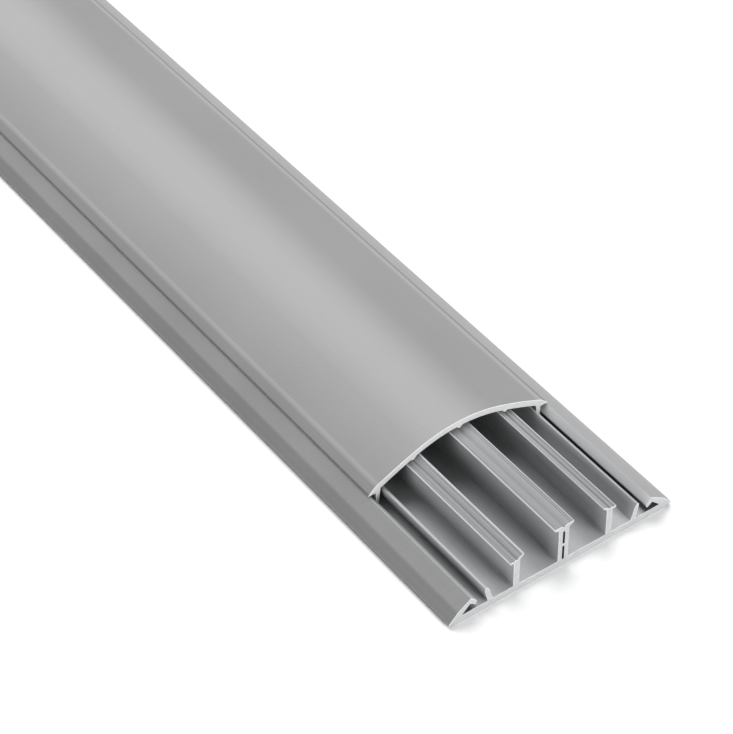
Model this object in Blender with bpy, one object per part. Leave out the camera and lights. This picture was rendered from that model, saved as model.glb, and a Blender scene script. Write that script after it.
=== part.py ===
"""Domed floor cord cover: an extruded base with four cable compartments, and the extruded cover that clips on it.

Both pieces are one outline each, drawn in millimetres as x (across) and z (up) and run along Y.
Y = -1 m is the near end, where the cover stops short of the base, as a fitter leaves it.
"""

import math

import bpy

MM = 0.001

# Whole object
LENGTH = 2000.0
WIDTH = 75.0
HEIGHT = 18.0
COVER_SETBACK = 45.0
FIT_GAP = 0.3

# Base plate and its rounded toe
PLATE = 2.4
TOE_RISE_X = 34.8
TOE_LOW = 0.7
TOE_HIGH = 1.55
WING_BREAK = (34.7, 4.1)

# Wing, the sloped side that ends in a lip turned down over the clip slot
WING_CREST = (30.35, 6.95)
LIP_TIP_TOP = (28.45, 4.85)
LIP_TIP_LOW = (28.95, 3.85)
WING_UNDER = (30.75, 5.05)
WING_ROOT = 33.5

# Clip rib, beside the slot that takes the cover's leg
RIB_FOOT_OUT = 24.9
RIB_KINK_OUT = (25.6, 5.0)
RIB_TOP_OUT = (26.1, 7.4)
RIB_TOP_IN = (25.0, 7.6)
RIB_KINK_IN = (24.45, 6.6)
RIB_FOOT_IN = 23.3

# Side divider and its sloped head with a groove
SIDE_WEB_OUT = 16.55
SIDE_WEB_IN = 14.6
SIDE_HEAD_OUT_LOW = (17.85, 10.9)
SIDE_HEAD_OUT_TOP = (17.85, 11.75)
SIDE_HEAD_IN_LOW = (13.3, 12.5)
SIDE_HEAD_IN_TOP = (13.3, 13.4)
SIDE_WEB_OUT_TOP = 11.05
SIDE_WEB_IN_TOP = 11.6
SIDE_GROOVE = (15.45, 11.9)

# Middle divider, a hollow double wall with a bridge
MID_WEB = 1.67
MID_WEB_TOP = 13.75
MID_HEAD = 3.27
MID_HEAD_LOW = 14.3
MID_HEAD_TOP = 15.3
MID_GROOVE = 14.8
SLOT_HALF = 0.35
LOWER_SLOT = (2.6, 7.4)
UPPER_SLOT = (8.4, 12.9)

# Cover: crown arc, flatter side arcs, then a narrow flat along each edge
COVER_WALL = 1.9
CROWN_RADIUS = 42.0
CROWN_ANGLE = math.radians(19.5)
SIDE_RADIUS = 130.0
EDGE_FLAT_X = 28.4
COVER_EDGE = 30.8
COVER_EDGE_TOP = 7.6
COVER_EDGE_LOW = 7.2

# Leg of the cover with its small hook under the lip
LEG_OUT = 28.15
LEG_HOOK_TOP = 4.3
LEG_HOOK = (28.8, 3.35)
LEG_FOOT = PLATE + FIT_GAP
LEG_FOOT_OUT = 28.55
LEG_FOOT_IN = 27.15
LEG_ROOT_IN = 26.6
LEG_SIDE_X = LEG_ROOT_IN - 2.0

# Nibs under the cover that drop into the grooves of the heads
NIB_HALF = 1.0

# Roundings
ROOT_FILLET = 0.3
EDGE_ROUND = 0.15
TOE_RISE_ROUND = 2.5
TOE_LOW_ROUND = 0.35
TOE_HIGH_ROUND = 0.5
WING_ROUND = 4.0
CREST_ROUND = 0.35
RIB_BEND = 1.5
SLOT_ROUND = 0.25
COVER_EDGE_ROUND = 0.2
LEG_BEND = 0.5
LEG_ROOT_ROUND = 0.6
ARC_STEP = math.radians(15.0)
LONG_ARC_STEP = math.radians(1.5)

SIDE_CENTRE = (
    (CROWN_RADIUS - SIDE_RADIUS) * math.sin(CROWN_ANGLE),
    HEIGHT - CROWN_RADIUS + (CROWN_RADIUS - SIDE_RADIUS) * math.cos(CROWN_ANGLE),
)


def clear_scene():
    for obj in list(bpy.data.objects):
        bpy.data.objects.remove(obj, do_unlink=True)


def rounded(corners):
    """Turns corners (x, z, radius) of an open outline into points, each rounded corner as an arc."""
    points = []
    for index, (x, z, radius) in enumerate(corners):
        if radius == 0 or index in (0, len(corners) - 1):
            points.append((x, z))
            continue
        before = corners[index - 1]
        after = corners[index + 1]
        back = (before[0] - x, before[1] - z)
        ahead = (after[0] - x, after[1] - z)
        back_length = math.hypot(*back)
        ahead_length = math.hypot(*ahead)
        back = (back[0] / back_length, back[1] / back_length)
        ahead = (ahead[0] / ahead_length, ahead[1] / ahead_length)
        opening = math.acos(back[0] * ahead[0] + back[1] * ahead[1])
        reach = radius / math.tan(opening / 2)
        centre_out = radius / math.sin(opening / 2)
        middle = (back[0] + ahead[0], back[1] + ahead[1])
        middle_length = math.hypot(*middle)
        centre = (x + middle[0] / middle_length * centre_out, z + middle[1] / middle_length * centre_out)
        first = (x + back[0] * reach, z + back[1] * reach)
        start = math.atan2(first[1] - centre[1], first[0] - centre[0])
        turn = math.pi - opening
        if back[0] * ahead[1] - back[1] * ahead[0] > 0:
            turn = -turn
        steps = max(1, math.ceil(abs(turn) / ARC_STEP))
        for step in range(steps + 1):
            angle = start + turn * step / steps
            points.append((centre[0] + radius * math.cos(angle), centre[1] + radius * math.sin(angle)))
    return points


def mirrored(half):
    """Closes a right half, which starts and ends on x = 0, with its mirror image."""
    other = [(-x, z) for x, z in reversed(half) if x > 1e-6]
    return half + other


def arc(centre, radius, start_x, end_x):
    """Points on the upper side of a circle from one x to another, angles measured from straight up."""
    first = math.asin((start_x - centre[0]) / radius)
    last = math.asin((end_x - centre[0]) / radius)
    steps = max(1, math.ceil(abs(last - first) / LONG_ARC_STEP))
    angles = [first + (last - first) * step / steps for step in range(steps + 1)]
    return [(centre[0] + radius * math.sin(a), centre[1] + radius * math.cos(a)) for a in angles]


def dome(inset, from_x, to_x):
    """Points on the dome, or on its inner face when inset is the wall, between two x that are both positive."""
    crown = (0.0, HEIGHT - CROWN_RADIUS)
    join_x = (CROWN_RADIUS - inset) * math.sin(CROWN_ANGLE)
    low, high = sorted((from_x, to_x))
    points = []
    if low < join_x:
        points += arc(crown, CROWN_RADIUS - inset, low, min(high, join_x))
    if high > join_x:
        side = arc(SIDE_CENTRE, SIDE_RADIUS - inset, max(low, join_x), high)
        points += side[1:] if points else side
    return points if from_x < to_x else points[::-1]


def dome_height(inset, x):
    return dome(inset, x, x + 0.01)[0][1]


def base_outline():
    corners = [
        (0.0, 0.0, 0),
        (TOE_RISE_X, 0.0, TOE_RISE_ROUND),
        (WIDTH / 2, TOE_LOW, TOE_LOW_ROUND),
        (WIDTH / 2, TOE_HIGH, TOE_HIGH_ROUND),
        (*WING_BREAK, WING_ROUND),
        (*WING_CREST, CREST_ROUND),
        (*LIP_TIP_TOP, EDGE_ROUND),
        (*LIP_TIP_LOW, EDGE_ROUND),
        (*WING_UNDER, ROOT_FILLET),
        (WING_ROOT, PLATE, ROOT_FILLET),
        (RIB_FOOT_OUT, PLATE, ROOT_FILLET),
        (*RIB_KINK_OUT, RIB_BEND),
        (*RIB_TOP_OUT, EDGE_ROUND),
        (*RIB_TOP_IN, EDGE_ROUND),
        (*RIB_KINK_IN, RIB_BEND),
        (RIB_FOOT_IN, PLATE, ROOT_FILLET),
        (SIDE_WEB_OUT, PLATE, ROOT_FILLET),
        (SIDE_WEB_OUT, SIDE_WEB_OUT_TOP, EDGE_ROUND),
        (*SIDE_HEAD_OUT_LOW, EDGE_ROUND),
        (*SIDE_HEAD_OUT_TOP, EDGE_ROUND),
        (*SIDE_GROOVE, EDGE_ROUND),
        (*SIDE_HEAD_IN_TOP, EDGE_ROUND),
        (*SIDE_HEAD_IN_LOW, EDGE_ROUND),
        (SIDE_WEB_IN, SIDE_WEB_IN_TOP, EDGE_ROUND),
        (SIDE_WEB_IN, PLATE, ROOT_FILLET),
        (MID_WEB, PLATE, ROOT_FILLET),
        (MID_WEB, MID_WEB_TOP, EDGE_ROUND),
        (MID_HEAD, MID_HEAD_LOW, EDGE_ROUND),
        (MID_HEAD, MID_HEAD_TOP, EDGE_ROUND),
        (0.0, MID_GROOVE, 0),
    ]
    return mirrored(rounded(corners))


def slot_outline(heights):
    """One of the two hollows of the middle divider, with rounded ends."""
    low, high = heights
    corners = [(0.0, low, 0), (SLOT_HALF, low, SLOT_ROUND), (SLOT_HALF, high, SLOT_ROUND), (0.0, high, 0)]
    return mirrored(rounded(corners))


def nib(middle_x, groove_z):
    """A small ridge under the cover, from its outer foot to its inner foot, its tip just over the groove."""
    outer_x = middle_x + NIB_HALF
    inner_x = middle_x - NIB_HALF
    return [
        (outer_x, dome_height(COVER_WALL, outer_x)),
        (middle_x, groove_z + FIT_GAP),
        (inner_x, dome_height(COVER_WALL, inner_x)),
    ]


def cover_outline():
    outer = dome(0.0, 0.0, EDGE_FLAT_X)
    corners = [
        (*outer[-1], 0),
        (COVER_EDGE, COVER_EDGE_TOP, COVER_EDGE_ROUND),
        (COVER_EDGE, COVER_EDGE_LOW, EDGE_ROUND),
        (LEG_OUT, COVER_EDGE_LOW, ROOT_FILLET),
        (LEG_OUT, LEG_HOOK_TOP, LEG_BEND),
        (*LEG_HOOK, EDGE_ROUND),
        (LEG_FOOT_OUT, LEG_FOOT, EDGE_ROUND),
        (LEG_FOOT_IN, LEG_FOOT, EDGE_ROUND),
        (LEG_ROOT_IN, dome_height(COVER_WALL, LEG_ROOT_IN), LEG_ROOT_ROUND),
        (LEG_SIDE_X, dome_height(COVER_WALL, LEG_SIDE_X), 0),
    ]
    edge = rounded(corners)
    side_nib = nib(SIDE_GROOVE[0], SIDE_GROOVE[1])
    inner = dome(COVER_WALL, edge[-1][0], side_nib[0][0])[1:-1]
    inner += side_nib
    inner += dome(COVER_WALL, side_nib[-1][0], NIB_HALF)[1:]
    inner.append((0.0, MID_GROOVE + FIT_GAP))
    return mirrored(outer[:-1] + edge + inner)


def extrusion(name, outlines, from_y, to_y, material):
    """Runs closed outlines, the first one less the others, from one y to another."""
    curve = bpy.data.curves.new(name, "CURVE")
    curve.dimensions = "2D"
    curve.fill_mode = "BOTH"
    curve.extrude = (to_y - from_y) / 2 * MM
    for outline in outlines:
        spline = curve.splines.new("POLY")
        spline.points.add(len(outline) - 1)
        for point, (x, z) in zip(spline.points, outline):
            point.co = (x * MM, z * MM, 0.0, 1.0)
        spline.use_cyclic_u = True
    curve.materials.append(material)
    obj = bpy.data.objects.new(name, curve)
    obj.rotation_euler = (math.pi / 2, 0.0, 0.0)
    obj.location = (0.0, (from_y + to_y) / 2 * MM, 0.0)
    return obj


def pvc(name, colour, roughness):
    """Extruded grey PVC."""
    material = bpy.data.materials.new(name)
    material.use_nodes = True
    shader = material.node_tree.nodes["Principled BSDF"]
    shader.inputs["Base Color"].default_value = (*colour, 1.0)
    shader.inputs["Roughness"].default_value = roughness
    return material


def main():
    clear_scene()
    parts = bpy.data.collections.new("floor_cord_cover")
    bpy.context.scene.collection.children.link(parts)
    near = -LENGTH / 2
    far = LENGTH / 2
    base_grey = pvc("extruded_pvc_base", (0.36, 0.36, 0.36), 0.5)
    cover_grey = pvc("extruded_pvc_cover", (0.40, 0.40, 0.40), 0.45)
    base = [base_outline(), slot_outline(LOWER_SLOT), slot_outline(UPPER_SLOT)]
    parts.objects.link(extrusion("base", base, near, far, base_grey))
    parts.objects.link(extrusion("cover", [cover_outline()], near + COVER_SETBACK, far, cover_grey))


main()
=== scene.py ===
# %% [markdown]
# # A floor cord cover, from die to cut end
#
# This duct lies on a floor and keeps cables out of the way of feet. It is two lengths of rigid PVC, each
# pushed through a steel die, so each is one section drawn out along one direction. The lesson draws the
# two sections the way the die maker does, pulls them to length, softens what a real die and a real saw
# soften, and then spends its time on the two finishes: the skin that the die leaves, and the paler face
# that the saw leaves.

# %% Load the fixed frame
import math

import bmesh
import bpy
from mathutils import Matrix, Vector


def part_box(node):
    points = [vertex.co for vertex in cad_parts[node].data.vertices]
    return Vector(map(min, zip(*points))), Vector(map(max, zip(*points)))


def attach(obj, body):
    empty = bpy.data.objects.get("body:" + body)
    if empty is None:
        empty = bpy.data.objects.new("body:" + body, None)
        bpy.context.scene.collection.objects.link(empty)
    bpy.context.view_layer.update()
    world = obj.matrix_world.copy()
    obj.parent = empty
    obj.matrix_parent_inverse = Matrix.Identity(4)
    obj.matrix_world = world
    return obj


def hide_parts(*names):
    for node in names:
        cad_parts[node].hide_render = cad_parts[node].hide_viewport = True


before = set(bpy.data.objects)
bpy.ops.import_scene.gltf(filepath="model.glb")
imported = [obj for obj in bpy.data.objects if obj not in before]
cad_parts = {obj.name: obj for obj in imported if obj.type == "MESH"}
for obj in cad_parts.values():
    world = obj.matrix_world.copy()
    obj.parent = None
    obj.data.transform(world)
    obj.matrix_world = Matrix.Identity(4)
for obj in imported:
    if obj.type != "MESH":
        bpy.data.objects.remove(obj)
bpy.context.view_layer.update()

# %% [markdown]
# ## Working in millimetres
#
# Profiles are drawn in millimetres, so every size here is in millimetres and one factor turns it to
# metres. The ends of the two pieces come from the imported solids, so the visual pieces can't drift from
# them.

# %% Ends of the two pieces
MM = 0.001
base_low, base_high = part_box("base")
cover_low, cover_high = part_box("cover")
BASE_NEAR = base_low[1]
BASE_FAR = base_high[1]
COVER_NEAR = cover_low[1]
COVER_FAR = cover_high[1]
print("cover set back by", round((COVER_NEAR - BASE_NEAR) / MM, 1), "mm")

# %% [markdown]
# ## Drawing a section by pulling edges
#
# A section could be typed in as one long outline. Pulling it out of a flat strip, wall by wall, is nearer
# to how the profile is thought of: a plate, then a web on it, then a head on the web. Each wall is a
# face, so its thickness is always in view. Only the right half is drawn, and a mirror gives the left.

# %% Helpers for drawing a section
SAME_PLACE = 0.02 * MM
ON_THE_CUT = 0.001 * MM
SAME_SHIFT = 0.001


def deselect():
    if bpy.context.object and bpy.context.object.mode != "OBJECT":
        bpy.ops.object.mode_set(mode="OBJECT")
    bpy.ops.object.select_all(action="DESELECT")


def start_strip(name, y, x0, x1, z0, z1):
    """Adds an upright rectangle across the duct at y and goes into edit mode on it."""
    deselect()
    place = ((x0 + x1) / 2 * MM, y, (z0 + z1) / 2 * MM)
    bpy.ops.mesh.primitive_plane_add(size=1.0, location=place, rotation=(math.pi / 2, 0.0, 0.0))
    piece = bpy.context.object
    piece.name = name
    piece.scale = ((x1 - x0) * MM, (z1 - z0) * MM, 1.0)
    bpy.ops.object.transform_apply(location=True, rotation=True, scale=True)
    bpy.ops.object.mode_set(mode="EDIT")
    bpy.ops.mesh.select_mode(type="VERT")
    return piece


def cut_at(*across):
    """Cuts what is drawn so far at these x, which gives the feet of webs and ribs."""
    for x in across:
        bpy.ops.mesh.select_all(action="SELECT")
        bpy.ops.mesh.bisect(plane_co=(x * MM, 0.0, 0.0), plane_no=(1.0, 0.0, 0.0), threshold=ON_THE_CUT)


def pick(*points):
    """Selects the drawn points at these (x, z), and the edges between them."""
    mesh = bmesh.from_edit_mesh(bpy.context.object.data)
    bpy.ops.mesh.select_all(action="DESELECT")
    for x, z in points:
        found = [v for v in mesh.verts if math.hypot(v.co.x - x * MM, v.co.z - z * MM) < SAME_PLACE]
        if not found:
            raise ValueError(f"no point of the section is at {x}, {z}")
        for vertex in found:
            vertex.select_set(True)
    mesh.select_flush(True)
    bmesh.update_edit_mesh(bpy.context.object.data)


def nudge(point, to):
    """Moves one drawn point."""
    pick(point)
    shift = ((to[0] - point[0]) * MM, 0.0, (to[1] - point[1]) * MM)
    bpy.ops.transform.translate(value=shift)


def pull(edge, to):
    """Extrudes one edge of the section into a new face whose far edge is at to."""
    pick(*edge)
    shift_x = to[0][0] - edge[0][0]
    shift_z = to[0][1] - edge[0][1]
    bpy.ops.mesh.extrude_region_move(TRANSFORM_OT_translate={"value": (shift_x * MM, 0.0, shift_z * MM)})
    moved = (edge[1][0] + shift_x, edge[1][1] + shift_z)
    if math.hypot(moved[0] - to[1][0], moved[1] - to[1][1]) > SAME_SHIFT:
        mesh = bmesh.from_edit_mesh(bpy.context.object.data)
        new = [v for v in mesh.verts if v.select]
        second = min(new, key=lambda v: math.hypot(v.co.x - moved[0] * MM, v.co.z - moved[1] * MM))
        bpy.ops.mesh.select_all(action="DESELECT")
        second.select_set(True)
        shift = ((to[1][0] - moved[0]) * MM, 0.0, (to[1][1] - moved[1]) * MM)
        bpy.ops.transform.translate(value=shift)


def wall(edge, *stations):
    """Pulls an edge through several stations, each a pair of points."""
    for station in stations:
        pull(edge, station)
        edge = station


def between(start, end, share):
    """The point that lies this share of the way from start to end."""
    return (start[0] + (end[0] - start[0]) * share, start[1] + (end[1] - start[1]) * share)


def join_up():
    """Welds the points that walls share and leaves edit mode."""
    bpy.ops.mesh.select_all(action="SELECT")
    bpy.ops.mesh.remove_doubles(threshold=SAME_PLACE)
    bpy.ops.object.mode_set(mode="OBJECT")


# %% [markdown]
# ## The base's section
#
# The plate carries everything. Two T-headed side dividers and one hollow double divider make four
# compartments. Beside each edge a low rib and the turned-in lip of the wing leave a slot, and the cover's
# leg clips into it. The middle divider is two thin walls with a bridge, because one thick wall would cool
# slowly and sink.


# %% Sizes of the base's section
PLATE = 2.4
TOE_RISE_X = 34.8
TOE_X = 37.5
TOE_LOW = 0.7
TOE_HIGH = 1.3
WING_BREAK = (34.7, 4.1)
WING_CREST = (30.35, 6.95)
WING_UNDER = (30.75, 5.05)
WING_ROOT = 33.5
LIP_TIP_TOP = (28.45, 4.85)
LIP_TIP_LOW = (28.95, 3.85)

RIB_FOOT = (23.3, 24.9)
RIB_BEND_LOW = ((24.05, 5.0), (25.6, 5.0))
RIB_BEND_HIGH = ((24.45, 6.6), (25.9, 6.5))
RIB_TOP = ((25.2, 7.55), (25.95, 7.4))

SIDE_WEB = (14.6, 16.55)
SIDE_WEB_TOP = ((14.6, 11.6), (16.55, 11.05))
SIDE_HEAD_ROOT = ((14.6, 12.49), (16.55, 11.83))
SIDE_HEAD_IN = ((13.3, 12.75), (13.3, 13.4))
SIDE_HEAD_OUT = ((17.8, 11.15), (17.8, 11.8))
SIDE_GROOVE = (15.45, 11.9)
SIDE_NOTCH = ((15.0, 12.36), (15.45, 11.75), (15.9, 12.05))

SLOT_HALF = 0.35
MID_WEB = 1.67
BRIDGE = (7.4, 8.4)
SLOT_TOP = 12.9
MID_HEAD_UNDER = 13.75
MID_HEAD_ROOT = 15.055
MID_HEAD_END = ((3.27, 14.6), (3.27, 15.3))
MID_GROOVE = 14.8
MID_NOTCH = ((0.0, 14.5), (0.35, 14.68), (0.95, 15.0))

# %% [markdown]
# ## The base starts as its plate
#
# The plate is one upright strip that lies in the plane of the near cut. It is cut across at the feet of
# the webs and the rib, which leaves short edges along its top, and each of those is pulled up from one of
# them. Finished boxes could be joined by a boolean, but that leaves slivers just where the roots get
# their fillets.


# %% Start from the plate
def faces_so_far():
    """Faces of the section that is being drawn."""
    return len(bmesh.from_edit_mesh(bpy.context.object.data).faces)


base = start_strip("base_profile", BASE_NEAR, 0.0, WING_ROOT, 0.0, PLATE)
cut_at(SLOT_HALF, MID_WEB, *SIDE_WEB, *RIB_FOOT)
print("faces in half a plate:", faces_so_far())

# %% [markdown]
# ## Ribs and side dividers
#
# The rib is a thin springy wall that leans outward at its tip, so that the cover's leg is held against the
# lip. A side divider is a web with a T head. The head is notched in the middle, where a nib of the cover
# points at it, and fluted on both sides. A texture could fake the flutes, but they show in the cut end, so
# they are steps in the section itself.

# %% Draw a rib and a side divider
FLUTES = 2
FLUTE_DEPTH = 0.18


def flute(start, end):
    """Gives one edge of the section fine flutes: it is cut into steps, and every second point goes down."""
    pick(start, end)
    bpy.ops.mesh.subdivide(number_cuts=2 * FLUTES - 1)
    for step in range(1, 2 * FLUTES, 2):
        x, z = between(start, end, step / (2 * FLUTES))
        nudge((x, z), (x, z - FLUTE_DEPTH))


def draw_rib():
    foot = ((RIB_FOOT[0], PLATE), (RIB_FOOT[1], PLATE))
    wall(foot, RIB_BEND_LOW, RIB_BEND_HIGH, RIB_TOP)


def draw_side_divider():
    foot = ((SIDE_WEB[0], PLATE), (SIDE_WEB[1], PLATE))
    wall(foot, SIDE_WEB_TOP, SIDE_HEAD_ROOT)
    pull((SIDE_WEB_TOP[0], SIDE_HEAD_ROOT[0]), SIDE_HEAD_IN)
    pull((SIDE_WEB_TOP[1], SIDE_HEAD_ROOT[1]), SIDE_HEAD_OUT)
    pick(*SIDE_HEAD_ROOT)
    bpy.ops.mesh.subdivide(number_cuts=len(SIDE_NOTCH))
    for step, point in enumerate(SIDE_NOTCH, start=1):
        nudge(between(*SIDE_HEAD_ROOT, step / (len(SIDE_NOTCH) + 1)), point)
    flute(SIDE_HEAD_ROOT[0], SIDE_HEAD_IN[1])
    flute(SIDE_HEAD_ROOT[1], SIDE_HEAD_OUT[1])


draw_rib()
draw_side_divider()
print("faces with the rib and the side divider:", faces_so_far())

# %% [markdown]
# ## The hollow middle divider
#
# Two thin walls stand a hair apart. A bridge joins them halfway up and the head joins them at the top. Only
# one wall is drawn. Its bridge and its half of the head stop at the middle, where the mirror meets them.
# A thick bar with the slots cut out of it would look the same, but its thin walls would only be what is
# left over, and harder to keep even.


# %% Draw the middle divider
def draw_middle_divider():
    levels = [BRIDGE[0], BRIDGE[1], SLOT_TOP, MID_HEAD_UNDER]
    stations = [((SLOT_HALF, z), (MID_WEB, z)) for z in levels]
    head_root = (MID_NOTCH[1], (MID_WEB, MID_HEAD_ROOT))
    wall(((SLOT_HALF, PLATE), (MID_WEB, PLATE)), *stations, head_root)
    for low, high in (BRIDGE, (SLOT_TOP, MID_HEAD_UNDER)):
        pull(((SLOT_HALF, low), (SLOT_HALF, high)), ((0.0, low), (0.0, high)))
    pull(((SLOT_HALF, MID_HEAD_UNDER), head_root[0]), ((0.0, MID_HEAD_UNDER), MID_NOTCH[0]))
    pull(((MID_WEB, MID_HEAD_UNDER), head_root[1]), MID_HEAD_END)
    pick(*head_root)
    bpy.ops.mesh.subdivide(number_cuts=1)
    nudge(between(*head_root, 0.5), MID_NOTCH[2])
    flute(head_root[1], MID_HEAD_END[1])


draw_middle_divider()
print("faces with the middle divider:", faces_so_far())

# %% [markdown]
# ## The wing, and the half section as a whole
#
# The wing is the ramp that a shoe or a wheel meets first. It rises from a thin toe, breaks to a gentler
# slope and turns in to end in a lip. Pulled as two walls from the plate's end, it keeps the real thickness
# all the way, which an outline typed in by hand would easily lose.


# %% Draw the wing and join the base's half section
def draw_wing():
    toe = ((TOE_RISE_X, 0.0), WING_BREAK)
    wall(((WING_ROOT, 0.0), (WING_ROOT, PLATE)), toe, ((TOE_X, TOE_LOW), (TOE_X, TOE_HIGH)))
    wall(((WING_ROOT, PLATE), WING_BREAK), (WING_UNDER, WING_CREST), (LIP_TIP_LOW, LIP_TIP_TOP))


draw_wing()
join_up()
print("faces in the base's half section:", len(base.data.polygons))

# %% [markdown]
# ## From half a section to a length of stock
#
# A Mirror modifier gives the other half. Then the whole section is extruded once along Y, which is just
# what the extruder does. Limited dissolve takes away the seams between long faces that lie in one plane.
# The cut ends keep the faces they were drawn with, since one face with two holes in it is more than a
# mesh can hold.

# %% Mirror, draw out and clean
IN_ONE_PLANE = math.radians(0.05)
SQUARE_ON = 0.99


def choose(piece):
    """Leaves edit mode and makes this the one selected piece."""
    deselect()
    piece.select_set(True)
    bpy.context.view_layer.objects.active = piece


def edit(piece, kind):
    """Goes into edit mode on one piece with nothing selected, and gives its mesh."""
    choose(piece)
    bpy.ops.object.mode_set(mode="EDIT")
    bpy.ops.mesh.select_mode(type=kind)
    bpy.ops.mesh.select_all(action="DESELECT")
    return bmesh.from_edit_mesh(piece.data)


def add_and_apply(piece, kind, **settings):
    """Adds one modifier with its settings and applies it."""
    choose(piece)
    bpy.ops.object.modifier_add(type=kind)
    modifier = piece.modifiers[-1]
    for name, value in settings.items():
        setattr(modifier, name, value)
    bpy.ops.object.modifier_apply(modifier=modifier.name)


def draw_out(piece, near, far):
    """Mirrors the half section and extrudes it from near to far."""
    add_and_apply(piece, "MIRROR", use_axis=(True, False, False), merge_threshold=SAME_PLACE)
    edit(piece, "VERT")
    bpy.ops.mesh.select_all(action="SELECT")
    bpy.ops.mesh.extrude_region_move(TRANSFORM_OT_translate={"value": (0.0, far - near, 0.0)})
    bpy.ops.mesh.select_all(action="SELECT")
    bpy.ops.mesh.normals_make_consistent(inside=False)
    bpy.ops.object.mode_set(mode="OBJECT")
    mesh = edit(piece, "FACE")
    for face in mesh.faces:
        face.select_set(abs(face.normal.y) < SQUARE_ON)
    bmesh.update_edit_mesh(piece.data)
    bpy.ops.mesh.dissolve_limited(angle_limit=IN_ONE_PLANE)
    bpy.ops.object.mode_set(mode="OBJECT")


draw_out(base, BASE_NEAR, BASE_FAR)
print("faces after drawing out:", len(base.data.polygons))

# %% [markdown]
# ## Rounding what the die rounds
#
# Melt can't fill a perfectly sharp corner, and a die maker won't cut one. So roots get a fillet and free
# edges get a small round. Each long edge is found by where it runs, and bevelled by its own radius. These
# little rounds catch the light as the thin bright lines that make plastic look extruded and not drawn.

# %% Bevel long edges by their place
LONG_EDGE = 1.0


def runs_at(edge, places):
    """True for an edge that runs along the piece at one of these (x, z), on either side of the middle."""
    one, other = edge.verts
    if abs(one.co.y - other.co.y) < LONG_EDGE:
        return False
    return any(math.hypot(abs(one.co.x) - x * MM, one.co.z - z * MM) < SAME_PLACE for x, z in places)


def round_long_edges(piece, radius, steps, places):
    """Bevels the long edges at these places, and gives back how many there were."""
    mesh = edit(piece, "EDGE")
    found = [edge for edge in mesh.edges if runs_at(edge, places)]
    for edge in found:
        edge.select_set(True)
    bmesh.update_edit_mesh(piece.data)
    bpy.ops.mesh.bevel(offset=radius * MM, segments=steps, affect="EDGES", clamp_overlap=True)
    bpy.ops.object.mode_set(mode="OBJECT")
    return len(found)


ROOT_FILLET = 0.3
FREE_ROUND = 0.2
HEAD_ROUND = 0.25
CREST_ROUND = 0.25
TOE_ROUND = 0.3
BREAK_ROUND = 0.6
BEND_ROUND = 0.5

roots = [(WING_ROOT, PLATE), WING_UNDER, (RIB_FOOT[0], PLATE), (RIB_FOOT[1], PLATE)]
roots += [(SIDE_WEB[0], PLATE), (SIDE_WEB[1], PLATE), (MID_WEB, PLATE)]
base_rounds = (
    ("roots", ROOT_FILLET, 4, roots),
    ("free edges", FREE_ROUND, 3, [LIP_TIP_TOP, LIP_TIP_LOW, *RIB_TOP]),
    ("head edges", HEAD_ROUND, 3, [*SIDE_HEAD_IN, *SIDE_HEAD_OUT, *MID_HEAD_END]),
    ("crests", CREST_ROUND, 4, [WING_CREST]),
    ("toes", TOE_ROUND, 4, [(TOE_X, TOE_LOW), (TOE_X, TOE_HIGH)]),
    ("wing breaks", BREAK_ROUND, 6, [WING_BREAK]),
    ("rib bends", BEND_ROUND, 3, [*RIB_BEND_LOW, *RIB_BEND_HIGH]),
)
for what, radius, steps, places in base_rounds:
    print(what, "rounded:", round_long_edges(base, radius, steps, places))

# %% [markdown]
# ## The cover's section
#
# The dome is an arc with a tighter crown and flatter sides, ending in a narrow flat along each edge. It
# could be a circle cut down. Spinning one short edge is closer to the drawing: the edge is the wall's
# thickness, first spun about the crown's centre and then about the flatter side's centre, far below.

# %% Sizes of the cover's section
HEIGHT = 18.0
COVER_WALL = 1.9
CROWN_RADIUS = 42.0
CROWN_ANGLE = math.radians(19.5)
SIDE_RADIUS = 130.0
SIDE_CENTRE = (
    (CROWN_RADIUS - SIDE_RADIUS) * math.sin(CROWN_ANGLE),
    HEIGHT - CROWN_RADIUS + (CROWN_RADIUS - SIDE_RADIUS) * math.cos(CROWN_ANGLE),
)
EDGE_FLAT_X = 28.4
EDGE_TIP = (30.55, 7.45)
EDGE_LOW = 7.2
LEG_OUT = 28.15
LEG_ROOT_X = 26.6
LEG_ROOT_ANGLE = math.asin((LEG_ROOT_X - SIDE_CENTRE[0]) / (SIDE_RADIUS - COVER_WALL))
LEG_BEND = ((27.0, 4.3), (28.15, 4.3))
LEG_HOOK = ((27.1, 3.35), (28.8, 3.35))
LEG_FOOT = ((27.15, 2.7), (28.55, 2.7))
NIB_HALF = 1.0
NIB_PULL = 0.1
NIB_GAP = 0.3


def side_point(radius, x):
    """The point at x on a circle about the side's centre."""
    rise = math.sqrt(radius**2 - (x - SIDE_CENTRE[0]) ** 2)
    return (x, SIDE_CENTRE[1] + rise)


def polar(centre, radius, angle):
    """The point on a circle at an angle from straight up."""
    return (centre[0] + radius * math.sin(angle), centre[1] + radius * math.cos(angle))


# %% Spin the dome
CROWN_STEPS = 13
SIDE_STEPS = 5
SPARE = 1.0


def spin_edge(centre, angle, steps):
    """Spins what is selected about a line along Y through centre, towards +X."""
    place = (centre[0] * MM, COVER_NEAR, centre[1] * MM)
    bpy.ops.mesh.spin(steps=steps, angle=angle, center=place, axis=(0.0, -1.0, 0.0))


def draw_dome():
    """Keeps one upright edge of the spare strip, and spins it down as far as the leg's root."""
    pick((-SPARE, HEIGHT - COVER_WALL), (-SPARE, HEIGHT))
    bpy.ops.mesh.delete(type="VERT")
    bpy.ops.mesh.select_all(action="SELECT")
    spin_edge((0.0, HEIGHT - CROWN_RADIUS), CROWN_ANGLE, CROWN_STEPS)
    spin_edge(SIDE_CENTRE, LEG_ROOT_ANGLE - CROWN_ANGLE, SIDE_STEPS)


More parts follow.
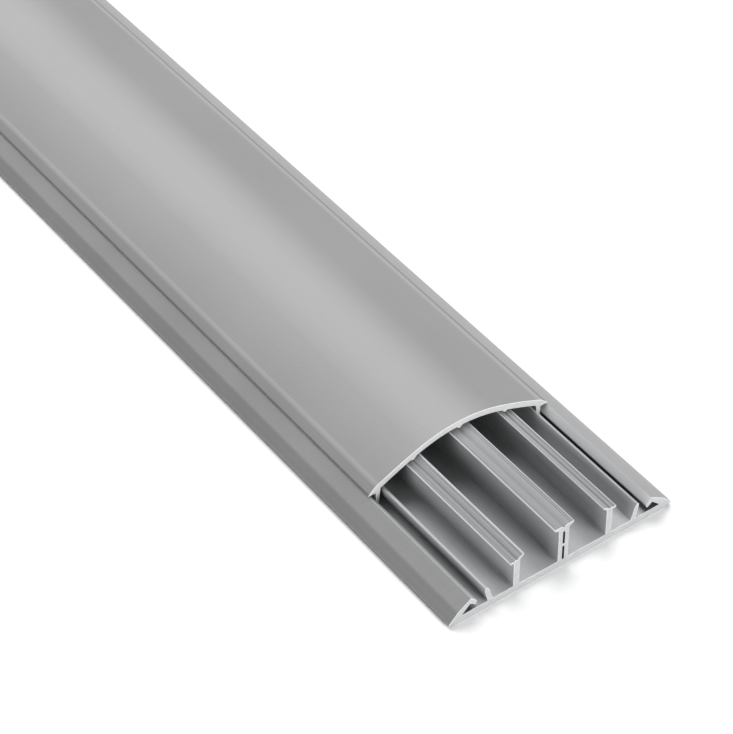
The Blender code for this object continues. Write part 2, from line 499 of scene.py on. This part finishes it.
cover = start_strip("cover_profile", COVER_NEAR, -SPARE, 0.0, HEIGHT - COVER_WALL, HEIGHT)
draw_dome()
print("points in the dome's half section:", len(bmesh.from_edit_mesh(cover.data).verts))

# %% [markdown]
# ## Nibs, edge and leg
#
# Three nibs under the dome stop short of the dividers' heads, so that a foot on the cover is carried by the
# dividers. Along each side the wall thins to an edge that closes on the crest of the wing, and a leg with a
# small hook goes down into the slot and clips under the lip. The hook is hidden in the photograph.


# %% Draw the nibs, the edge and the leg
def drop_nib(middle_x, tip):
    """Cuts the wall at both feet of a nib, pulls the strip between them down and merges it at the tip."""
    feet = (middle_x - NIB_HALF, middle_x + NIB_HALF)
    cut_at(*[x for x in feet if x > 0.0])
    mesh = bmesh.from_edit_mesh(bpy.context.object.data)
    bpy.ops.mesh.select_all(action="DESELECT")
    columns = {}
    for vertex in mesh.verts:
        if feet[0] * MM - SAME_PLACE <= vertex.co.x <= feet[1] * MM + SAME_PLACE:
            columns.setdefault(round(vertex.co.x / MM, 3), []).append(vertex)
    for column in columns.values():
        min(column, key=lambda v: v.co.z).select_set(True)
    mesh.select_flush(True)
    bpy.ops.mesh.extrude_region_move(TRANSFORM_OT_translate={"value": (0.0, 0.0, -NIB_PULL * MM)})
    bpy.ops.mesh.merge(type="CENTER")
    merged = next(v for v in mesh.verts if v.select)
    shift = (tip[0] * MM - merged.co.x, 0.0, tip[1] * MM - merged.co.z)
    bpy.ops.transform.translate(value=shift)


def draw_edge_and_leg():
    """Pulls the wall out to its thin edge, and the leg down from under it."""
    root = tuple(polar(SIDE_CENTRE, SIDE_RADIUS - depth, LEG_ROOT_ANGLE) for depth in (COVER_WALL, 0.0))
    shoulder = ((LEG_OUT, EDGE_LOW), side_point(SIDE_RADIUS, EDGE_FLAT_X))
    wall(root, shoulder, ((EDGE_TIP[0], EDGE_LOW), EDGE_TIP))
    wall((root[0], shoulder[0]), LEG_BEND, LEG_HOOK, LEG_FOOT)


drop_nib(0.0, (0.0, MID_GROOVE + NIB_GAP))
drop_nib(SIDE_GROOVE[0], (SIDE_GROOVE[0], SIDE_GROOVE[1] + NIB_GAP))
draw_edge_and_leg()
join_up()
print("faces in the cover's half section:", len(cover.data.polygons))

# %% [markdown]
# ## The cover to length
#
# The cover leaves its own die, and is drawn out and rounded by the same two functions as the base. Its thin
# edge gets the smallest round of all, since a blunt edge would leave a wide gap along the wing.

# %% Draw the cover out and round its edges
COVER_EDGE_ROUND = 0.1

draw_out(cover, COVER_NEAR, COVER_FAR)
leg_root = side_point(SIDE_RADIUS - COVER_WALL, LEG_ROOT_X)
cover_rounds = (
    ("leg roots", ROOT_FILLET, 4, [leg_root, (LEG_OUT, EDGE_LOW)]),
    ("cover edges", COVER_EDGE_ROUND, 4, [EDGE_TIP, (EDGE_TIP[0], EDGE_LOW)]),
    ("hooks and feet", FREE_ROUND, 3, [LEG_HOOK[1], *LEG_FOOT]),
)
for what, radius, steps, places in cover_rounds:
    print(what, "rounded:", round_long_edges(cover, radius, steps, places))

# %% [markdown]
# ## The saw's edge
#
# Stock is cut square with a fine-toothed saw, and the fitter drags a file once round the rim. That leaves
# a narrow bevel round each cut face, and its paler colour is a painted highlight along the cut edges. A
# bevel in the shader would give the pale line but not its glint, so the edge is really cut off.

# %% Bevel the cut ends
RIM = 0.15
RIM_PROFILE = 0.6


def bevel_cut_ends(piece):
    """Bevels the rim of both cut ends, but not round the thin slots that no file can reach."""
    mesh = edit(piece, "EDGE")
    for edge in mesh.edges:
        ends = [abs(face.normal.y) > SQUARE_ON for face in edge.link_faces]
        in_slot = max(abs(vertex.co.x) for vertex in edge.verts) < SLOT_HALF * MM + SAME_PLACE
        if any(ends) and not all(ends) and not in_slot:
            edge.select_set(True)
    bmesh.update_edit_mesh(piece.data)
    bpy.ops.mesh.bevel(offset=RIM * MM, segments=2, profile=RIM_PROFILE, affect="EDGES", clamp_overlap=False)
    bpy.ops.object.mode_set(mode="OBJECT")


def section_area(piece):
    """Area of the cut face at the near end in square millimetres."""
    near = min(vertex.co.y for vertex in piece.data.vertices)
    cut = [face for face in piece.data.polygons if face.center.y < near + SAME_PLACE]
    return sum(face.area for face in cut) / MM**2


for piece in (base, cover):
    bevel_cut_ends(piece)
    print(piece.name, "section in square mm:", round(section_area(piece), 1))

# %% [markdown]
# ## Which face gets which finish
#
# There are seven: the skin that slid on the sizing plates, the skin that cooled in open air and is painted
# paler, the filed rim with a painted highlight, the sawn face, the scored tops of the heads, the edges with a
# painted highlight, and the slots in the middle divider painted nearly black as shade. Picking faces by hand
# would do too, but a rule for each face can't miss one of the long narrow strips.

# %% Share out the finishes
# Two slots carry painted light: a pale highlight on head sides and the right lip, and shade in the slots.
CALIBRATED_SLOT, FREE_SLOT, RIM_SLOT, CORE_SLOT, TOPS_SLOT, HIGHLIGHT_SLOT, SHADED_SLOT = range(7)
OUTER_WING_X = 29.9
TOPS_Z = 7.2
OFF_SQUARE = 0.15
STEEPEST_TOP = 0.5
STEEPEST_DOME = 0.3
STEEPEST_WING = -0.1


def is_calibrated(piece, face):
    """True for the outside that slid along the sizing plates: the dome, the wings and the underside."""
    if piece == cover:
        return face.normal.z > STEEPEST_DOME
    outward = face.normal.x * face.center.x > 0 and abs(face.center.x) > OUTER_WING_X * MM
    upward = face.normal.z > STEEPEST_WING and outward
    return upward or face.center.z < SAME_PLACE


def is_painted_highlight(face):
    """True for the faces painted pale as a highlight: the sides of the heads and the inside of the right lip.
    """
    across = face.center.x / MM
    if face.center.z > TOPS_Z * MM:
        head_sides = (SIDE_HEAD_IN[0][0], SIDE_HEAD_OUT[0][0], MID_HEAD_END[0][0])
        return any(abs(abs(across) - side) < HEAD_ROUND for side in head_sides)
    on_lip = LIP_TIP_TOP[0] < across < WING_CREST[0] - CREST_ROUND / 2
    return on_lip and face.center.z > LIP_TIP_TOP[1] * MM and face.normal.z > STEEPEST_TOP


def slot_of(piece, face):
    if abs(face.normal.y) > SQUARE_ON:
        return CORE_SLOT
    # Rim faces get the paler rim finish, a painted highlight along the cut edges.
    if abs(face.normal.y) > OFF_SQUARE:
        return RIM_SLOT
    # Painted highlight: the sides of the heads and the inside of the right lip get a pale finish.
    if piece == base and is_painted_highlight(face):
        return HIGHLIGHT_SLOT
    if is_calibrated(piece, face):
        return CALIBRATED_SLOT
    if piece == cover:
        return FREE_SLOT
    # Painted shade: the walls of the middle divider's slots get a nearly black finish.
    in_slot = abs(face.center.x) < SLOT_HALF * MM + SAME_PLACE
    if in_slot and face.center.z < SLOT_TOP * MM + SAME_PLACE:
        return SHADED_SLOT
    on_head = abs(face.center.x) < RIB_FOOT[0] * MM and face.center.z > TOPS_Z * MM
    return TOPS_SLOT if on_head and face.normal.z > STEEPEST_TOP else FREE_SLOT


for piece in (base, cover):
    slots = [slot_of(piece, face) for face in piece.data.polygons]
    piece.data.polygons.foreach_set("material_index", slots)
    print(piece.name, "finishes in use:", sorted(set(slots)))

# %% [markdown]
# ## Smooth where it flows, sharp where it breaks
#
# The dome is a fan of narrow strips and must shade as one curve, while the flutes and the flat along the
# cover's edge must keep their lines. Smooth-by-angle does the first and keeps the flutes crisp. The crease
# of the flat is too shallow for that, so it is marked sharp. Weighted normals keep the wide faces flat right
# up to their small rounds.

# %% Set the shading
SMOOTH_BELOW = math.radians(35.0)
WIDE_FACES_FIRST = 80


def shade(piece, *sharp_places):
    choose(piece)
    bpy.ops.object.shade_smooth_by_angle(angle=SMOOTH_BELOW)
    mesh = edit(piece, "EDGE")
    creases = [edge for edge in mesh.edges if runs_at(edge, sharp_places)]
    for edge in creases:
        edge.select_set(True)
    bmesh.update_edit_mesh(piece.data)
    print(piece.name, "creases marked sharp:", len(creases))
    bpy.ops.mesh.mark_sharp()
    bpy.ops.object.mode_set(mode="OBJECT")
    add_and_apply(piece, "WEIGHTED_NORMAL", mode="FACE_AREA", weight=WIDE_FACES_FIRST, keep_sharp=True)


shade(base)
shade(cover, side_point(SIDE_RADIUS, EDGE_FLAT_X))

# %% [markdown]
# ## Colours and nodes
#
# Colours are read off as sRGB hex and turned linear by one function, because shaders mix light and not
# pixels. One more function adds any node with its settings and its links, so a material reads from top to
# bottom.


# %% Helpers for materials
def hex_colour(code):
    """sRGB hex to linear RGBA."""
    channels = [int(code[i : i + 2], 16) / 255 for i in (1, 3, 5)]
    linear = [c / 12.92 if c <= 0.04045 else ((c + 0.055) / 1.055) ** 2.4 for c in channels]
    return (*linear, 1.0)


def add_node(tree, kind, inputs, **settings):
    """Adds a node. Inputs are values for its sockets, or the sockets that feed them."""
    made = tree.nodes.new(kind)
    for name, value in settings.items():
        setattr(made, name, value)
    for name, value in inputs.items():
        if isinstance(value, bpy.types.NodeSocket):
            tree.links.new(value, made.inputs[name])
        else:
            made.inputs[name].default_value = value
    return made


def new_material(name):
    """A material with only its output node, and the tree to build in."""
    material = bpy.data.materials.new(name)
    material.use_nodes = True
    material.node_tree.nodes.clear()
    return material, material.node_tree


# %% [markdown]
# ## The skin that the die leaves
#
# Rigid PVC is pigmented grey right through. Its skin is satin: it slid along polished steel, which draws
# very fine lines along the length, and it cooled on sizing plates, which leaves soft clouds a few
# centimetres across. So the pattern is two noises, one stretched along Y like the lines and one round
# like the clouds, and a third fine one for the chalk filler. IOR is near 1.53 for PVC. The outside
# touched the sizing plates and is a neutral grey. The inside cooled in open air and is slightly blue, and it
# is painted paler than the outside as painted light in the compartments.


# %% Extruded PVC
LINE_WIDTH = 0.7
LINE_LENGTH = 900.0
CLOUD = 45.0
GRAIN = 0.5
LINE_SHARE = 0.4
GRAIN_SHARE = 0.5
LINE_DEPTH = 0.002
GRAIN_DEPTH = 0.01
TONE_SPAN = (0.6, 1.3)
GLOSS_SPREAD = 0.02
PVC_IOR = 1.53


def skin_tone(tree, place):
    """The lines, the grain and the weighed sum of all three noises, which is near 0.95."""
    line_scale = (1 / (LINE_WIDTH * MM), 1 / (LINE_LENGTH * MM), 1 / (LINE_WIDTH * MM))
    along = add_node(tree, "ShaderNodeMapping", {"Vector": place, "Scale": line_scale}).outputs[0]
    lines = add_node(tree, "ShaderNodeTexNoise", {"Vector": along, "Scale": 1.0, "Detail": 3.0}).outputs[0]
    cloud_inputs = {"Vector": place, "Scale": 1 / (CLOUD * MM), "Detail": 2.0}
    clouds = add_node(tree, "ShaderNodeTexNoise", cloud_inputs).outputs[0]
    grain_inputs = {"Vector": place, "Scale": 1 / (GRAIN * MM), "Detail": 2.0}
    grain = add_node(tree, "ShaderNodeTexNoise", grain_inputs).outputs[0]
    lines_and_clouds = {0: lines, 1: LINE_SHARE, 2: clouds}
    tone = add_node(tree, "ShaderNodeMath", lines_and_clouds, operation="MULTIPLY_ADD").outputs[0]
    all_three = {0: grain, 1: GRAIN_SHARE, 2: tone}
    tone = add_node(tree, "ShaderNodeMath", all_three, operation="MULTIPLY_ADD").outputs[0]
    return lines, grain, tone


def between_colours(tree, tone, span, dark, light):
    """Turns a tone into a colour from dark to light."""
    share = add_node(tree, "ShaderNodeMapRange", {"Value": tone, "From Min": span[0], "From Max": span[1]})
    inputs = {0: share.outputs[0], 6: hex_colour(dark), 7: hex_colour(light)}
    return add_node(tree, "ShaderNodeMix", inputs, data_type="RGBA").outputs[2]


def in_metres(span):
    return tuple(value * MM for value in span)


def shade_by(tree, colour, measure, span, factors):
    """Scales a colour by a factor that runs smoothly with a measure."""
    inputs = {"Value": measure, "From Min": span[0], "From Max": span[1]}
    inputs |= {"To Min": factors[0], "To Max": factors[1]}
    factor = add_node(tree, "ShaderNodeMapRange", inputs, interpolation_type="SMOOTHSTEP").outputs[0]
    return add_node(tree, "ShaderNodeVectorMath", {0: colour, 3: factor}, operation="SCALE").outputs[0]


def extruded_pvc(name, dark, light, roughness, detail=None):
    """Satin extruded skin. The detail, if any, is a function that changes the colour by the place."""
    material, tree = new_material(name)
    place = add_node(tree, "ShaderNodeTexCoord", {}).outputs["Object"]
    lines, grain, tone = skin_tone(tree, place)
    colour = between_colours(tree, tone, TONE_SPAN, dark, light)
    if detail:
        colour = detail(tree, place, colour)
    gloss_inputs = {"Value": tone, "From Min": TONE_SPAN[0], "From Max": TONE_SPAN[1]}
    gloss_inputs |= {"To Min": roughness - GLOSS_SPREAD, "To Max": roughness + GLOSS_SPREAD}
    gloss = add_node(tree, "ShaderNodeMapRange", gloss_inputs).outputs[0]
    line_bump = add_node(tree, "ShaderNodeBump", {"Height": lines, "Distance": LINE_DEPTH * MM}).outputs[0]
    grain_inputs = {"Height": grain, "Distance": GRAIN_DEPTH * MM, "Normal": line_bump}
    fine_bump = add_node(tree, "ShaderNodeBump", grain_inputs).outputs[0]
    shader_inputs = {"Base Color": colour, "Roughness": gloss, "Normal": fine_bump, "IOR": PVC_IOR}
    shader = add_node(tree, "ShaderNodeBsdfPrincipled", shader_inputs)
    add_node(tree, "ShaderNodeOutputMaterial", {"Surface": shader.outputs[0]})
    return material


# %% [markdown]
# ## Small differences in the skin
#
# In the photograph the lower flat of each wing is a shade darker than the upper one, so its colour ramps
# down below the crease as painted shade. Along each side the dome has a painted highlight, a paler line just
# inside the flat of its edge. The flat itself is a touch darker, its outer half on the right side carries
# painted shade, and the very edge is painted darkest as shade in the joint with the wing. Painted shade also
# lies under the lips. The tops of the heads are drawn through the narrowest slits of the die, so they are
# scored with fine dark and light lines. Each is one smooth ramp over a measured place, because a painted
# mask would need a picture.


# %% Foot of the wing, edge of the dome, painted shade under the lips and scored tops
FOOT_RAMP = (3.7, 4.4)
FOOT_PAINTED_SHADE = 0.76
HIGHLIGHT_LINE_X = 27.7
HIGHLIGHT_LINE_SPAN = (0.3, 1.0)
HIGHLIGHT_LINE_GAIN = 1.2
FLAT_RAMP = (28.2, 28.6)
FLAT_SHADE = 0.97
JOINT_RAMP = (30.2, 30.45)
JOINT_PAINTED_SHADE = 0.45
RIGHT_FLAT_RAMP = (28.9, 29.5)
RIGHT_FLAT_PAINTED_SHADE = 0.5
UNDER_LIP_RAMP = (25.6, 26.6)
UNDER_LIP_PAINTED_SHADE = 0.25
SCORE_WIDTH = 0.3
SCORE_SHIFT = 1.7
SCORE_SPAN = (0.38, 0.6)
SCORE_SHADE = (0.8, 1.06)


# Painted shade: the lower flat of the wing darkens towards the floor.
def painted_shade_at_foot(tree, place, colour):
    height = add_node(tree, "ShaderNodeSeparateXYZ", {0: place}).outputs[2]
    return shade_by(tree, colour, height, in_metres(FOOT_RAMP), (FOOT_PAINTED_SHADE, 1.0))


def dome_edges(tree, place, colour):
    across = add_node(tree, "ShaderNodeSeparateXYZ", {0: place}).outputs[0]
    either_side = add_node(tree, "ShaderNodeMath", {0: across}, operation="ABSOLUTE").outputs[0]
    from_line = {0: either_side, 1: HIGHLIGHT_LINE_X * MM}
    beyond = add_node(tree, "ShaderNodeMath", from_line, operation="SUBTRACT").outputs[0]
    distance = add_node(tree, "ShaderNodeMath", {0: beyond}, operation="ABSOLUTE").outputs[0]
    # Painted highlight: a paler line just inside the flat of the dome's edge.
    highlight_line_colour = shade_by(tree, colour, distance, in_metres(HIGHLIGHT_LINE_SPAN), (HIGHLIGHT_LINE_GAIN, 1.0))
    flat = shade_by(tree, highlight_line_colour, either_side, in_metres(FLAT_RAMP), (1.0, FLAT_SHADE))
    # Painted shade on the outer half of the right flat only.
    right_flat_shaded = shade_by(tree, flat, across, in_metres(RIGHT_FLAT_RAMP), (1.0, RIGHT_FLAT_PAINTED_SHADE))
    # Painted shade at the very edge, in the joint with the wing.
    return shade_by(tree, right_flat_shaded, either_side, in_metres(JOINT_RAMP), (1.0, JOINT_PAINTED_SHADE))


def painted_shade_under_lips(tree, place, colour):
    """Paints shade on the floor far out and low down, where x less z is large."""
    across, _, height = add_node(tree, "ShaderNodeSeparateXYZ", {0: place}).outputs
    either_side = add_node(tree, "ShaderNodeMath", {0: across}, operation="ABSOLUTE").outputs[0]
    inputs = {0: either_side, 1: height}
    measure = add_node(tree, "ShaderNodeMath", inputs, operation="SUBTRACT").outputs[0]
    return shade_by(tree, colour, measure, in_metres(UNDER_LIP_RAMP), (1.0, UNDER_LIP_PAINTED_SHADE))


def scored_lines(tree, place, colour):
    scale = (1 / (SCORE_WIDTH * MM), 1 / (LINE_LENGTH * MM), 1 / (SCORE_WIDTH * MM))
    slid = {"Vector": place, "Scale": scale, "Location": (SCORE_SHIFT, 0.0, 0.0)}
    along = add_node(tree, "ShaderNodeMapping", slid).outputs[0]
    score = add_node(tree, "ShaderNodeTexNoise", {"Vector": along, "Scale": 1.0, "Detail": 1.0}).outputs[0]
    return shade_by(tree, colour, score, SCORE_SPAN, SCORE_SHADE)


# %% [markdown]
# ## The face that the saw leaves
#
# A sawn face is the same plastic torn open: its surface is rough at the scale of the teeth, so it
# scatters more light and looks paler than the skin. The teeth leave faint arcs, drawn here as narrow
# bands across the section.


# %% Sawn PVC
TOOTH_MARK = 0.9
TOOTH_MARK_LENGTH = 9.0
TORN_GRAIN = 0.35
SAWN_SPAN = (0.7, 1.3)
SAWN_DEPTH = 0.04
SAW_TILT = 0.5
SAWN_ROUGHNESS = 0.75


def sawn_pvc(name, dark, light):
    """Rough sawn plastic with tooth marks."""
    material, tree = new_material(name)
    place = add_node(tree, "ShaderNodeTexCoord", {}).outputs["Object"]
    turn = {"Vector": place, "Rotation": (0.0, SAW_TILT, 0.0)}
    turned = add_node(tree, "ShaderNodeMapping", turn).outputs[0]
    mark_scale = (1 / (TOOTH_MARK_LENGTH * MM), 1.0, 1 / (TOOTH_MARK * MM))
    across = add_node(tree, "ShaderNodeMapping", {"Vector": turned, "Scale": mark_scale}).outputs[0]
    marks = add_node(tree, "ShaderNodeTexNoise", {"Vector": across, "Scale": 1.0, "Detail": 3.0}).outputs[0]
    torn_inputs = {"Vector": place, "Scale": 1 / (TORN_GRAIN * MM), "Detail": 3.0}
    torn = add_node(tree, "ShaderNodeTexNoise", torn_inputs).outputs[0]
    tone = add_node(tree, "ShaderNodeMath", {0: marks, 1: torn}, operation="ADD").outputs[0]
    colour = between_colours(tree, tone, SAWN_SPAN, dark, light)
    bump = add_node(tree, "ShaderNodeBump", {"Height": tone, "Distance": SAWN_DEPTH * MM}).outputs[0]
    shader_inputs = {"Base Color": colour, "Roughness": SAWN_ROUGHNESS, "Normal": bump, "IOR": PVC_IOR}
    shader = add_node(tree, "ShaderNodeBsdfPrincipled", shader_inputs)
    add_node(tree, "ShaderNodeOutputMaterial", {"Surface": shader.outputs[0]})
    return material


# %% [markdown]
# ## Dressing the two pieces
#
# Both pieces are one grey PVC, so their finishes differ in how each surface was made and used, and in
# painted light. The wings slid on the sizing plates last and are the glossiest, and the dome is a little
# duller from shoes. The scored tops are dull, the edges with a painted highlight pale, and the slots of the
# middle divider painted nearly black as shade. One material for all would be simpler, but the eye tells die
# and saw apart at once.


# %% Finish both pieces
# Painted light: the free skin is paler than the outside, and its detail paints shade under the lips.
free_skin = extruded_pvc("extruded_pvc_free_skin_painted_paler", "#9C9E9F", "#ACAEAF", 0.46, painted_shade_under_lips)
base_finishes = (
    extruded_pvc("extruded_pvc_wing_skin", "#8A8A8A", "#999999", 0.36, painted_shade_at_foot),
    free_skin,
    # Painted highlight: the filed rim is paler than the cut face.
    sawn_pvc("sawn_pvc_base_rim_painted_highlight", "#CED0D1", "#DEDFE0"),
    sawn_pvc("sawn_pvc_base_cut_face", "#AEB0B1", "#C0C2C3"),
    extruded_pvc("extruded_pvc_scored_tops", "#8E9092", "#9E9FA1", 0.68, scored_lines),
    # Painted highlight on the sides of the heads and the inside of the right lip.
    extruded_pvc("extruded_pvc_painted_highlight_edges", "#CCCED0", "#DCDEE0", 0.4),
    # Painted shade: the slot walls are nearly black.
    extruded_pvc("extruded_pvc_slot_walls_painted_shade", "#2E2F30", "#3E3F40", 0.8),
)
cover_finishes = (
    extruded_pvc("extruded_pvc_dome_skin", "#8A8A8A", "#939393", 0.44, dome_edges),
    free_skin,
    # Painted highlight: the cover's filed rim is paler than its cut face.
    sawn_pvc("sawn_pvc_cover_rim_painted_highlight", "#E6E7E7", "#F0F1F1"),
    sawn_pvc("sawn_pvc_cover_cut_face", "#CFD0D0", "#DDDEDE"),
)
for piece, finishes in ((base, base_finishes), (cover, cover_finishes)):
    for finish in finishes:
        piece.data.materials.append(finish)
    slots = [face.material_index for face in piece.data.polygons]
    print(piece.name, "faces by finish:", [slots.count(slot) for slot in range(len(finishes))])

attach(base, "root")
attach(cover, "root")
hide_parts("base")
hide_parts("cover")

# %% [markdown]
# ## The floor
#
# The floor is a plain pale board, whose gloss varies a little in soft clouds. The photograph shows the piece
# on pure white, which could be had with no floor at all. A white board comes close to it, and still gives
# the piece something to stand on.

# %% Floor
FLOOR_SIDE = 40.0
BOARD_CLOUD = 25.0
BOARD_GLOSS = (0.85, 0.95)

deselect()
bpy.ops.mesh.primitive_plane_add(size=FLOOR_SIDE, location=(0.0, 0.0, 0.0))
floor = bpy.context.object
floor.name = "studio_floor"
board, tree = new_material("matt_white_board")
place = add_node(tree, "ShaderNodeTexCoord", {}).outputs["Object"]
cloud_inputs = {"Vector": place, "Scale": 1 / (BOARD_CLOUD * MM), "Detail": 2.0}
clouds = add_node(tree, "ShaderNodeTexNoise", cloud_inputs).outputs[0]
gloss_inputs = {"Value": clouds, "To Min": BOARD_GLOSS[0], "To Max": BOARD_GLOSS[1]}
gloss = add_node(tree, "ShaderNodeMapRange", gloss_inputs).outputs[0]
shader_inputs = {"Base Color": hex_colour("#FEFEFE"), "Roughness": gloss}
shader = add_node(tree, "ShaderNodeBsdfPrincipled", shader_inputs)
add_node(tree, "ShaderNodeOutputMaterial", {"Surface": shader.outputs[0]})
floor.data.materials.append(board)
print("floor side in metres:", FLOOR_SIDE)

# %% [markdown]
# ## Three soft lights
#
# A broad light from behind and a little to the right models the dome, one from the front and right lifts the
# cut ends, and a low one from the left opens the left wing. Small lamps close by would show the form as well.
# These are large and far away, so the shadows stay soft and the light is as even at the far end as at the
# near one.

# %% Lights
AIM_INWARD = 120.0
AIM = Vector((0.0, BASE_NEAR + AIM_INWARD * MM, 0.0))
LIGHT_DISTANCE = 5.5
STUDIO = {
    "key_above_and_behind": ((0.23, 0.59, 0.77), 4.75, 344.0),
    "fill_in_front": ((0.34, -0.88, 0.32), 3.25, 231.0),
    "fill_left": ((-0.93, -0.1, 0.3), 3.25, 131.0),
}
AIR_LIGHT = 0.15


def soft_light(name, towards, side, watts):
    """A square area light that stands this way from the near end, and faces it."""
    data = bpy.data.lights.new(name, "AREA")
    data.shape = "SQUARE"
    data.size = side
    data.energy = watts
    light = bpy.data.objects.new(name, data)
    bpy.context.scene.collection.objects.link(light)
    light.location = AIM + Vector(towards).normalized() * LIGHT_DISTANCE
    light.rotation_euler = (AIM - light.location).to_track_quat("-Z", "Y").to_euler()


for name, (towards, side, watts) in STUDIO.items():
    soft_light(name, towards, side, watts)
print("lights:", list(STUDIO))

world = bpy.data.worlds.new("studio_air")
bpy.context.scene.world = world
world.use_nodes = True
world.node_tree.nodes["Background"].inputs[0].default_value = (1.0, 1.0, 1.0, 1.0)
world.node_tree.nodes["Background"].inputs[1].default_value = AIR_LIGHT
bpy.context.scene.view_settings.view_transform = "Standard"

# %% [markdown]
# ## The camera
#
# The camera stands where the photograph's stood: to the left of the near end, looking down at 43 degrees
# with a long lens. It could be steered by eye. Working it out from the corners of the section is surer, since
# then every later difference between render and photograph belongs to the piece.

# %% Camera
FRAME_HEIGHT_PX = 734
FOCAL_PX = 2663.9
SENSOR = 36.0
CAMERA_AZIMUTH = math.radians(-35.21)
CAMERA_ELEVATION = math.radians(43.22)
CAMERA_ROLL = math.radians(-0.94)
CAMERA_PLACE = Vector((-0.31666, BASE_NEAR - 0.36038, 0.52127))

back = Vector((
    math.sin(CAMERA_AZIMUTH) * math.cos(CAMERA_ELEVATION),
    -math.cos(CAMERA_AZIMUTH) * math.cos(CAMERA_ELEVATION),
    math.sin(CAMERA_ELEVATION),
))
level_right = Vector((0.0, 0.0, 1.0)).cross(back).normalized()
level_up = back.cross(level_right)
right = level_right * math.cos(CAMERA_ROLL) + level_up * math.sin(CAMERA_ROLL)
up = back.cross(right)
camera_data = bpy.data.cameras.new("camera")
camera_data.sensor_width = SENSOR
camera_data.lens = FOCAL_PX / FRAME_HEIGHT_PX * SENSOR
camera = bpy.data.objects.new("camera", camera_data)
bpy.context.scene.collection.objects.link(camera)
turn = Matrix((right, up, back)).transposed()
camera.matrix_world = Matrix.Translation(CAMERA_PLACE) @ turn.to_4x4()
bpy.context.scene.camera = camera
print("lens in mm:", round(camera_data.lens, 1))
